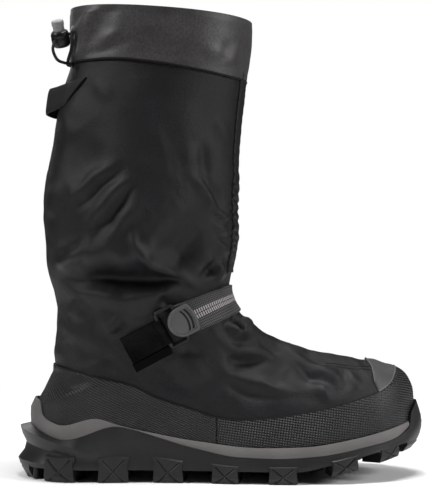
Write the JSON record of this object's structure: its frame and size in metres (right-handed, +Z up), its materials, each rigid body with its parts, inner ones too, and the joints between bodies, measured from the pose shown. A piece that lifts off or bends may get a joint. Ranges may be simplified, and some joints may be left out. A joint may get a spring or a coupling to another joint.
{
  "type": "winter overshoe",
  "caption": "Tall insulated nylon overshoe with a hollow shaft, rubber rand, cushioned sole with heavy lugs, instep strap and a drawcord at the collar.",
  "frame": {"origin": "on the floor, under the middle of the sole's length and width", "axes": "+Z up, +X towards the toe, +Y to the inner side of the foot"},
  "size_m": [0.3284, 0.13, 0.3754],
  "materials": {
    "nylon": "woven nylon with a soft sheen",
    "cuff_satin": "smooth satin nylon",
    "rand_rubber": "textured rubberised fabric",
    "toe_rubber": "smooth grey rubber",
    "dark_rubber": "moulded rubber",
    "grey_foam": "matte moulded foam",
    "insole_felt": "felt",
    "webbing": "woven webbing",
    "hook_and_loop": "fuzzy hook and loop",
    "black_plastic": "matte",
    "grey_plastic": "satin",
    "button_plastic": "satin",
    "pale_metal": "satin",
    "cord": "braided elastic cord"
  },
  "bodies": {
    "boot": {"upper": "nylon", "cuff": "cuff_satin", "rand_rear": "rand_rubber", "rand_front": "rand_rubber", "toe_patch": "toe_rubber", "front_flap": "nylon", "outsole": "dark_rubber", "midsole": "grey_foam", "insole": "insole_felt", "instep_strap": "webbing", "anchor_tab": "hook_and_loop", "anchor_bar": "black_plastic", "strap_ring": "black_plastic", "strap_buckle": "grey_plastic", "pull_tab": "webbing", "lock_barrel": "black_plastic", "cord_eyelet": "pale_metal", "drawcord_long": "cord", "drawcord_short": "cord"},
    "lock_button": {"lock_button": "button_plastic"}
  },
  "joints": [
    {"name": "lock_press", "type": "slide", "parent": "boot", "child": "lock_button", "axis": [-0.1471, -0.3953, 0.9067], "range_m": [-0.0025, 0], "stiffness_N_per_m": 1500}
  ]
}
